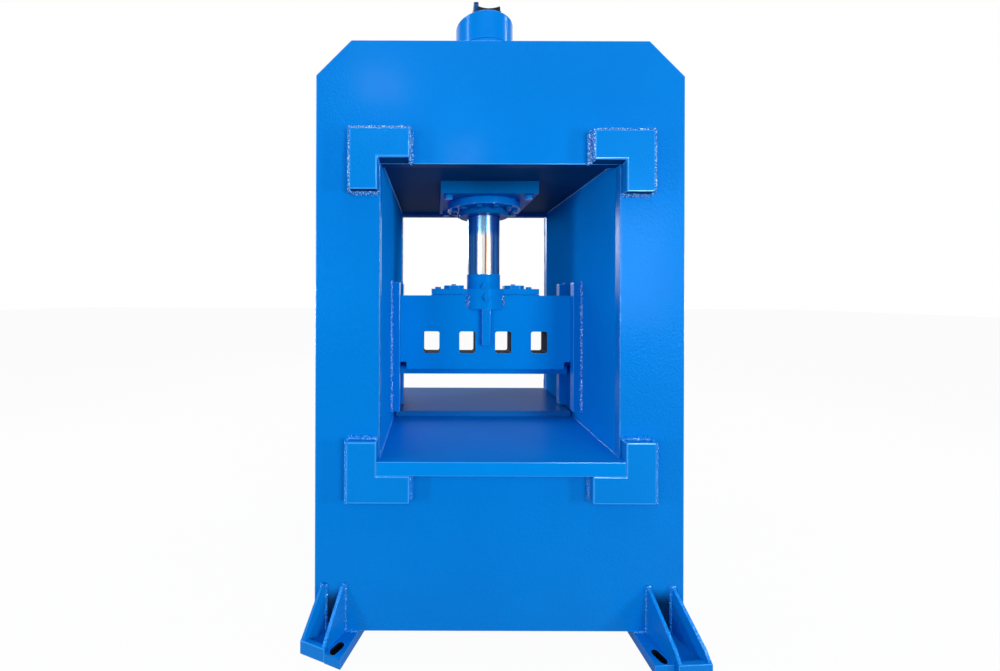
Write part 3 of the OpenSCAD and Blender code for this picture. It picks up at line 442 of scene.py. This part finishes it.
def weld(name, runs, body, leg, rough, finish=bead_enamel, pitch=USUAL_PITCH):
    """Lays ripples along runs of (start, end, face normal, other face normal) and joins them. rough is
    how uneven they are, and pitch is their distance in legs."""
    chance = random.Random(len(seams))
    copies = []
    for start, end, face, other in runs:
        start, end, face, other = Vector(start), Vector(end), Vector(face), Vector(other)
        along = (end - start).normalized()
        out = (face + other).normalized()
        across = out.cross(along).normalized()
        length = (end - start).length
        count = max(1, int(length / (leg * pitch)))
        for i in range(count):
            wobble = [chance.uniform(-rough, rough) for _ in range(6)]
            size = 1 + wobble[0]
            middle = start + along * (length * (i + 0.5) / count)
            middle += out * leg * (RISE + STRAY * wobble[1]) + across * leg * STRAY * wobble[2]
            turn = Matrix((along, across, out)).transposed()
            turn = turn @ Matrix.Rotation(TWIST * wobble[3], 3, "Z")
            turn = turn @ Matrix.Rotation(TWIST * wobble[4], 3, "Y")
            scale = Matrix.Diagonal((pitch * leg * size, RIPPLE_ACROSS * leg * size,
                                     RIPPLE_OUT * leg * (1 + wobble[5])))
            copy = bpy.data.objects.new(name, ripple.data.copy())
            copy.data.transform(Matrix.Translation(middle) @ (turn @ scale).to_4x4())
            bpy.context.scene.collection.objects.link(copy)
            copies.append(copy)
    only(copies[0])
    for copy in copies:
        copy.select_set(True)
    bpy.ops.object.join()
    seam = bpy.context.object
    seam.name = name
    seam.data.name = name
    seam.data.materials.append(finish)
    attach(seam, body)
    seams.append(seam)


print("faces of a ripple:", len(ripple.data.polygons))

# %% [markdown]
# The corner pads carry the heaviest welds of the press, laid in two passes. The first bead, of
# 17 mm leg, fills the corner between pad and face plate. A second one lies on the pad's side, up to
# its front edge, on three sides of the upper pads and on the outer side of the lower ones. The edges
# beside the window stay bare.

# %% Beads round the corner pads
WINDOW_TOP, SILL = 1.547, 0.550
REAR_WINDOW_RISE = 0.008
UPPER_LEG_W, LOWER_LEG_W = 0.090, 0.097
UPPER_PAD_W, LOWER_PAD_W = 0.193, 0.202
PAD_T = 0.035
FIRST_PASS, FIRST_PITCH = 0.017, 0.42
SECOND_PASS, SECOND_PITCH, SECOND_SINK = 0.012, 0.5, 0.001
PAD_ROUGH = 0.2


def pad_runs(low, high, side, up, face):
    """Runs round the outside of an L-shaped pad, as (start, end, outward direction)."""
    leg_w = UPPER_LEG_W if up > 0 else LOWER_LEG_W
    y = high.y if face.y < 0 else low.y
    outer_x, inner_x = (high.x, low.x) if side > 0 else (low.x, high.x)
    far_z, near_z = (high.z, low.z) if up > 0 else (low.z, high.z)
    leg_x = outer_x - side * leg_w
    window_z = WINDOW_TOP if face.y < 0 else WINDOW_TOP + REAR_WINDOW_RISE
    leg_z = window_z if up > 0 else SILL
    return [
        (Vector((outer_x, y, near_z)), Vector((outer_x, y, far_z)), side * X),
        (Vector((outer_x, y, far_z)), Vector((inner_x, y, far_z)), up * Z),
        (Vector((inner_x, y, far_z)), Vector((inner_x, y, leg_z)), -side * X),
        (Vector((leg_x, y, near_z)), Vector((outer_x, y, near_z)), -up * Z),
    ]


def weld_pad(name, sides, face, up):
    """One pass round each pad in sides, and a second one where the welder laid it."""
    first = [(a, b, face, away) for runs in sides for a, b, away in runs]
    up_face = face * (PAD_T - 0.5 * SECOND_PASS)
    second = [(a + up_face - away * SECOND_SINK, b + up_face - away * SECOND_SINK, away, away)
              for runs in sides for a, b, away in runs[:3 if up > 0 else 1]]
    # The upper pads' beads get the pale specks, painted glints
    finish = painted_glint_bead_enamel if up > 0 else bead_enamel
    weld("weld_" + name, first, "frame", FIRST_PASS, PAD_ROUGH, finish, FIRST_PITCH)
    weld("weld_edge_" + name, second, "frame", SECOND_PASS, PAD_ROUGH, finish, SECOND_PITCH)


for node, side, up in (("front_top_left_pad", -1, 1), ("front_top_right_pad", 1, 1),
                       ("front_low_left_pad", -1, -1), ("front_low_right_pad", 1, -1)):
    low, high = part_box(node)
    weld_pad(node, [pad_runs(low, high, side, up, -Y)], -Y, up)
for node, up, width in (("rear_top_pads", 1, UPPER_PAD_W), ("rear_low_pads", -1, LOWER_PAD_W)):
    low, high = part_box(node)
    left = pad_runs(low, Vector((low.x + width, high.y, high.z)), -1, up, Y)
    right = pad_runs(Vector((high.x - width, low.y, low.z)), high, 1, up, Y)
    weld_pad(node, [left, right], Y, up)
print("pad beads:", len(seams))

# %% [markdown]
# Each guide bar is welded to the tunnel wall along its whole length, and the welder wove that bead
# unevenly. Thin seams run along the tunnel's corners, where the walls meet the ceiling and the
# table, behind the bed plate, under the table's edges and up the sides of the window.

# %% Beads on guide bars, tunnel corners and table
FACE_Y, INNER_Y = 0.425, 0.39
# The seam under the table stops at the lower pads, and those of the window below the upper ones
TABLE_END, WINDOW_END = 0.11, 0.020
EDGE_PITCH = 1.6

wall_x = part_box("right_wall")[0].x
for node in ("front_left_guide", "front_right_guide", "rear_left_guide", "rear_right_guide"):
    low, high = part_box(node)
    side = 1 if low.x > 0 else -1
    end_y = low.y if low.y < 0 else high.y
    face = -Y if low.y < 0 else Y
    x = side * wall_x
    runs = [((x, end_y, low.z), (x, end_y, high.z), face, -side * X),
            ((x, end_y, high.z), (x, 0.5 * (low.y + high.y), high.z), Z, -side * X)]
    weld("weld_" + node, runs, "frame", leg=0.013, rough=0.34, finish=painted_glint_bead_enamel)

table_low, table_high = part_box("table_plate")
bed_low, bed_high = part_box("bed_plate")
ceiling_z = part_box("ceiling_plate")[0].z
runs = []
for side in (-1, 1):
    x = side * wall_x
    runs.append(((x, -FACE_Y, table_high.z), (x, INNER_Y, table_high.z), Z, -side * X))
    runs.append(((x, -INNER_Y, ceiling_z), (x, INNER_Y, ceiling_z), -Z, -side * X))
weld("weld_tunnel_corners", runs, "frame", leg=0.006, rough=0.3)
runs = [((bed_low.x, bed_high.y, table_high.z), (bed_high.x, bed_high.y, table_high.z), Z, Y)]
weld("weld_bed_plate", runs, "frame", leg=0.004, rough=0.3)
table_x = wall_x - TABLE_END
runs = [((-table_x, y, table_low.z), (table_x, y, table_low.z), face, -Z)
        for y, face in ((-FACE_Y, -Y), (FACE_Y, Y))]
weld("weld_table_underside", runs, "frame", leg=0.008, rough=0.25)
runs = [((side * wall_x, y, low_z), (side * wall_x, y, ceiling_z - WINDOW_END), face, -side * X)
        for side in (-1, 1)
        for y, low_z, face in ((-FACE_Y, table_high.z, -Y), (FACE_Y, bed_high.z, Y))]
weld("weld_window_edges", runs, "frame", leg=0.0028, rough=0.3, pitch=EDGE_PITCH)
print("frame beads:", len(seams))

# %% [markdown]
# On the crosshead, short heavy beads hold the collar in the slab, thin ones run down both sides of
# the rib, and a ragged one fills the rebate under the retaining plate.

# %% Beads on the crosshead
# The collar's beads stop short of its foot and of the slab's top
COLLAR_BEAD_FROM, COLLAR_BEAD_TO = 0.012, 0.002
# The rebate under the retaining plate, and half the gap that its bead leaves for the collar
KEEPER_REBATE, COLLAR_HALF_GAP = 0.004, 0.085

rib_low, rib_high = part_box("collar_ribs")
keeper_low, keeper_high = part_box("retaining_plate")
collar_low, collar_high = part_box("ram_collar")
collar_runs, rib_runs, keeper_runs = [], [], []
edge_x = math.sqrt(collar_high.x ** 2 - slab_low.y ** 2)
keeper_y = keeper_low.y + KEEPER_REBATE
for side in (-1, 1):
    collar_runs.append(((side * edge_x, slab_low.y, collar_low.z + COLLAR_BEAD_FROM),
                        (side * edge_x, slab_low.y, slab_high.z - COLLAR_BEAD_TO), -Y, side * X))
    x = side * rib_high.x
    for y, face in ((slab_low.y, -Y), (slab_high.y, Y)):
        rib_runs.append(((x, y, rib_low.z), (x, y, rib_high.z), face, side * X))
    x = side * keeper_high.x
    keeper_runs.append(((x, keeper_y, slab_high.z), (side * COLLAR_HALF_GAP, keeper_y, slab_high.z), Z, -Y))
    x -= side * KEEPER_REBATE
    keeper_runs.append(((x, keeper_low.y, slab_high.z), (x, slab_high.y, slab_high.z), Z, side * X))
rib_runs.append(((-rib_high.x, slab_low.y, rib_low.z), (rib_high.x, slab_low.y, rib_low.z), -Y, -Z))
weld("weld_collar", collar_runs, "crosshead", leg=0.015, rough=0.4, finish=painted_glint_bead_enamel)
weld("weld_rib", rib_runs, "crosshead", leg=0.007, rough=0.3)
weld("weld_retaining_plate", keeper_runs, "crosshead", leg=0.006, rough=0.35, finish=crosshead_enamel)
bar_low, bar_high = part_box("press_bar")
runs = [((bar_low.x, slab_high.y, bar_high.z), (bar_high.x, slab_high.y, bar_high.z), Z, Y)]
weld("weld_press_bar", runs, "crosshead", leg=0.008, rough=0.25)
print("crosshead beads:", len(seams))

# %% [markdown]
# Each foot is a floor plate with two sloping gussets and a toe plate. The gussets are turned in
# plan, so the beads are laid in the foot's own axes and then turned into place: x outwards across
# the foot, -y forwards along it, with the origin where its inner edge meets the face plate. The
# walls of the anchor slots are flame-cut and bare, and near black, which is also painted shade.

# %% Beads on the feet
FOOT_T, GUSSET_T = 0.030, 0.012
# The bead on the floor plate starts a little in from its edge and covers most of its width, and the
# one over a gusset's tip is somewhat wider than the gusset
PLATE_INSET, PLATE_SHARE, TIP_SHARE = 0.004, 0.9, 0.6
# An anchor slot's place, from the foot's inner and front edges, and how its walls are found
SLOT_IN, SLOT_BACK = 0.031, 0.028
SLOT_REACH, SLOT_WALL_AREA = 0.034, 0.0012
# Where the inner edge meets the face plate, the foot's turn, how far the floor plate and the gussets
# reach forwards, its widths at the plate and at the toe, the gussets' own turns and their tops
FEET = {
    "left": dict(side=-1, edge=0.456, turn=20, reach=0.103, front=0.103, width=0.148, toe=0.090,
                 extra=(11, 28), top=0.184),
    "right": dict(side=1, edge=0.436, turn=3, reach=0.113, front=0.128, width=0.166, toe=0.104,
                  extra=(9, 15), top=0.179),
}
CORNER = {("left", False): "front_left", ("right", False): "front_right",
          ("left", True): "rear_right", ("right", True): "rear_left"}


def foot_runs(foot, half_turn):
    """Runs of one foot in the model's axes. half_turn carries it to the opposite corner of the frame."""
    turn = math.radians(foot["turn"])
    place = Matrix.Translation((foot["edge"], -FACE_Y, 0)) @ Matrix.Rotation(turn, 4, "Z")
    place = Matrix.Diagonal((foot["side"], 1, 1, 1)) @ place
    if half_turn:
        place = Matrix.Rotation(math.pi, 4, "Z") @ place
    spin = place.to_3x3()
    wall = spin @ Vector((math.sin(-turn), -math.cos(turn), 0))
    front, gusset_top = foot["front"], foot["top"]
    runs = []
    starts = (foot["width"] - foot["toe"] + GUSSET_T, foot["width"])
    for x0, extra in zip(starts, foot["extra"]):
        bend = math.radians(extra)
        across = Vector((math.cos(bend), math.sin(bend), 0))
        run = (front * math.cos(turn) - x0 * math.sin(turn)) / math.cos(turn + bend)
        for offset, sign in ((0.0, 1), (-GUSSET_T, -1)):
            # the gusset's side starts at the toe and runs back to the face plate
            reach = run - offset * math.tan(turn + bend)
            corner = place @ Vector((x0 + offset * math.cos(bend) - reach * math.sin(bend),
                                     -front + offset * math.sin(bend) + reach * math.cos(bend), 0))
            runs.append(((corner.x, corner.y, FOOT_T), (corner.x, corner.y, gusset_top),
                         spin @ (across * sign), wall))
        tip = place @ Vector((x0 - 0.5 * GUSSET_T * math.cos(bend) - run * math.sin(bend),
                              -front + run * math.cos(bend), 0))
        tip.z = gusset_top
        half = spin @ across * GUSSET_T * TIP_SHARE
        runs.append((tip - half, tip + half, Z, wall))
    # along the floor plate's top, where the face plate stands on it
    inner = place @ Vector((PLATE_INSET, PLATE_INSET * math.tan(-turn), 0))
    reach = (starts[0] - GUSSET_T) / math.cos(turn)
    outer = inner + spin @ Vector((math.cos(-turn), math.sin(-turn), 0)) * reach * PLATE_SHARE
    inner.z = outer.z = FOOT_T
    runs.append((inner, outer, Z, wall))
    return runs


for name, foot in FEET.items():
    for half_turn in (False, True):
        where = CORNER[name, half_turn]
        weld(f"weld_{where}_foot", foot_runs(foot, half_turn), "frame", leg=0.0075, rough=0.3)
        turned = Matrix.Rotation(math.radians(foot["turn"]), 4, "Z")
        slot_at = turned @ Vector((SLOT_IN, SLOT_BACK - foot["reach"], 0))
        slot_at = Vector((foot["side"] * (foot["edge"] + slot_at.x), slot_at.y - FACE_Y, 0))
        slot_at = -slot_at if half_turn else slot_at
        repaint(pieces[where + "_foot"], lambda face: abs(face.normal.z) < ALONG
                and face.area < SLOT_WALL_AREA and (face.center - slot_at).xy.length < SLOT_REACH, slot_scale_and_painted_shade)
bpy.data.objects.remove(ripple)
print("seams:", len(seams), "faces:", sum(len(s.data.polygons) for s in seams))

# %% [markdown]
# The end cap is welded to the barrel. Seen from below this shows as one fine raised ring, made as a
# torus that sinks half its tube into the wall.

# %% Ring seam between barrel and cap
RING_TUBE = 0.0022

barrel_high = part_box("barrel")[1]
bpy.ops.object.select_all(action="DESELECT")
bpy.ops.mesh.primitive_torus_add(location=(0, 0, barrel_high.z), major_segments=96, minor_segments=8,
                                 major_radius=barrel_high.y, minor_radius=RING_TUBE)
ring = bpy.context.object
ring.name = "weld_cap_ring"
bpy.ops.object.transform_apply(location=True)
bpy.ops.object.shade_smooth()
ring.data.materials.append(cylinder_enamel)
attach(ring, "frame")
print("ring at:", round(barrel_high.z, 3))

# %% [markdown]
# The press stands on a plain white floor. The camera, and whatever mirrors it, sees the floor as
# almost white, and it still darkens under the feet. Light that bounces off it is dimmer, as on the
# grey concrete of a workshop. The background is white too. For mirrors it is bright behind the
# press and in a broad doorway behind the camera, with dark walls to both sides, and that is what
# draws the white band down the ram. An even low light from all round fills the shadows.

# %% Floor and surroundings
FLOOR_SIZE, FLOOR_DROP = 60, 0.0005
FLOOR_GLOW, FLOOR_IN_MIRRORS = 0.96, 0.3
FILL_LEVEL, WALL_LEVEL, DOORWAY_LEVEL = 0.22, 0.04, 0.75
# Where the bright parts start and are full, as the backwards share of the direction that is seen
BEHIND_FROM, BEHIND_FULL = 0.35, 0.6
DOORWAY_FROM, DOORWAY_FULL = -0.62, -0.78


def seen_directly(tree):
    """The rays' own node, and 1 where the camera sees something, through glass or not."""
    ray = add_node(tree, "ShaderNodeLightPath")
    return ray, maths(tree, "MAXIMUM", ray.outputs["Is Camera Ray"], ray.outputs["Is Transmission Ray"])


bpy.ops.object.select_all(action="DESELECT")
bpy.ops.mesh.primitive_plane_add(size=FLOOR_SIZE, location=(0, 0, -FLOOR_DROP))
floor = bpy.context.object
floor.name = "floor"
bpy.ops.object.transform_apply(location=True)
floor_paint, tree = new_material("white_floor")
ray, direct = seen_directly(tree)
seen = maths(tree, "MULTIPLY_ADD", ray.outputs["Is Glossy Ray"], FLOOR_IN_MIRRORS, direct)
share = maths(tree, "MULTIPLY", seen, FLOOR_GLOW)
matt = add_node(tree, "ShaderNodeBsdfDiffuse", Color=mix(tree, direct, linear("#7c7c7c"), linear("#d6d6d6")))
glow = add_node(tree, "ShaderNodeEmission", Color=linear("#ffffff"), Strength=1.0)
mixed = add_node(tree, "ShaderNodeMixShader", i0=share, i1=matt.outputs["BSDF"], i2=glow.outputs["Emission"])
add_node(tree, "ShaderNodeOutputMaterial", Surface=mixed.outputs["Shader"])
floor.data.materials.append(floor_paint)

world = bpy.data.worlds.new("studio")
bpy.context.scene.world = world
world.use_nodes = True
tree = world.node_tree
tree.nodes.clear()
ray, direct = seen_directly(tree)
direction = add_node(tree, "ShaderNodeTexCoord").outputs["Generated"]
depth = add_node(tree, "ShaderNodeSeparateXYZ", Vector=direction).outputs["Y"]
behind = remap(tree, depth, BEHIND_FROM, BEHIND_FULL, 0.0, 1.0)
doorway = remap(tree, depth, DOORWAY_FROM, DOORWAY_FULL, WALL_LEVEL, DOORWAY_LEVEL)
fill = add_node(tree, "ShaderNodeMix", {"data_type": "FLOAT"}, Factor=ray.outputs["Is Glossy Ray"],
                i2=FILL_LEVEL, i3=maths(tree, "MAXIMUM", behind, doorway))
level = add_node(tree, "ShaderNodeMix", {"data_type": "FLOAT"}, Factor=direct, i2=fill.outputs["Result"],
                 i3=1.0)
sky = add_node(tree, "ShaderNodeBackground", Color=linear("#ffffff"), Strength=level.outputs["Result"])
add_node(tree, "ShaderNodeOutputWorld", Surface=sky.outputs["Background"])
print("floor and surroundings made")

# %% [markdown]
# Two small lamps hang high in front of the press, just where their reflections fall on the crown
# in the photograph. The key light is a large soft box to the right of the camera: it reaches into
# the tunnel, and it leaves the right end of the table in the window's shadow. A weaker one stands
# on the left. Two tall boxes near the floor throw the shadows of the gussets inwards over the face
# plate, and one lamp overhead lifts what faces up. Rim lights stand beside and behind the press:
# rounded edges mirror them as thin white lines, and two strips up there draw the upright lines on
# the barrel. The last lamp stands behind the press, for the hidden side.

# %% Lamps
def soft_box(name, place, target, width, height, power):
    """A rectangular lamp at place that points at target."""
    data = bpy.data.lights.new(name, "AREA")
    data.shape = "RECTANGLE"
    data.size, data.size_y, data.energy = width, height, power
    lamp = bpy.data.objects.new(name, data)
    bpy.context.scene.collection.objects.link(lamp)
    lamp.location = place
    lamp.rotation_euler = (Vector(target) - Vector(place)).to_track_quat("-Z", "Y").to_euler()


soft_box("crown_lamp_left", (-0.80, -3.30, 3.40), (-0.3, -0.4, 1.4), 0.50, 0.22, 9.5)
soft_box("crown_lamp_right", (0.10, -3.30, 2.62), (0.0, -0.4, 1.2), 0.36, 0.30, 7)
soft_box("key_right", (2.5, -5.4, 1.55), (0.0, -0.3, 1.1), 1.8, 1.8, 134)
soft_box("front_left", (-3.4, -5.0, 1.5), (0.0, -0.3, 1.0), 1.6, 1.8, 60)
soft_box("side_left", (-3.2, -1.9, 0.9), (-0.3, -0.4, 0.5), 0.25, 0.8, 34)
soft_box("side_right", (3.3, -2.0, 1.1), (0.3, -0.4, 0.7), 0.3, 0.9, 44)
soft_box("overhead", (0.2, -1.6, 4.6), (0.0, -0.4, 0.6), 0.6, 0.5, 18)
soft_box("rim_left", (-4.2, 0.7, 3.0), (-0.5, 0.0, 1.4), 0.8, 1.6, 70)
soft_box("rim_right", (4.2, 1.8, 3.1), (0.5, 0.0, 1.4), 0.9, 1.6, 75)
soft_box("strip_left", (-3.2, -0.9, 4.3), (0.0, 0.0, 2.1), 0.5, 0.8, 14)
soft_box("strip_right", (3.0, -0.1, 4.1), (0.1, 0.0, 2.1), 0.12, 1.2, 14)
soft_box("rear_fill", (-1.8, 5.0, 2.6), (0.0, 0.4, 1.0), 1.6, 1.6, 60)
print("lamps:", len(bpy.data.lights))

# %% [markdown]
# The photograph was taken from 1.65 m before the cylinder's axis, left of the middle and 1.12 m up,
# with a very wide lens, and was then cropped. The lens and the shift below give the same frame on
# an image of 1000 by 671 pixels.

# %% Camera
FOCAL_PX, CENTRE_X, CENTRE_Y = 377.2, 435.3, 294.9
IMAGE_W, IMAGE_H = 1000, 671
SENSOR = 36.0
CAMERA_AT = (-0.2102, -1.6502, 1.1229)
ROLL = 0.003
camera_data = bpy.data.cameras.new("camera")
camera_data.sensor_width = SENSOR
camera_data.sensor_fit = "HORIZONTAL"
camera_data.lens = FOCAL_PX * SENSOR / IMAGE_W
camera_data.shift_x = (IMAGE_W / 2 - CENTRE_X) / IMAGE_W
camera_data.shift_y = (CENTRE_Y - IMAGE_H / 2) / IMAGE_W
camera = bpy.data.objects.new("camera", camera_data)
bpy.context.scene.collection.objects.link(camera)
camera.matrix_world = (Matrix.Translation(CAMERA_AT) @ Matrix.Rotation(math.pi / 2, 4, "X")
                       @ Matrix.Rotation(ROLL, 4, "Z"))
bpy.context.scene.camera = camera
bpy.context.scene.view_settings.view_transform = "Standard"
print("lens:", round(camera_data.lens, 2), "mm")
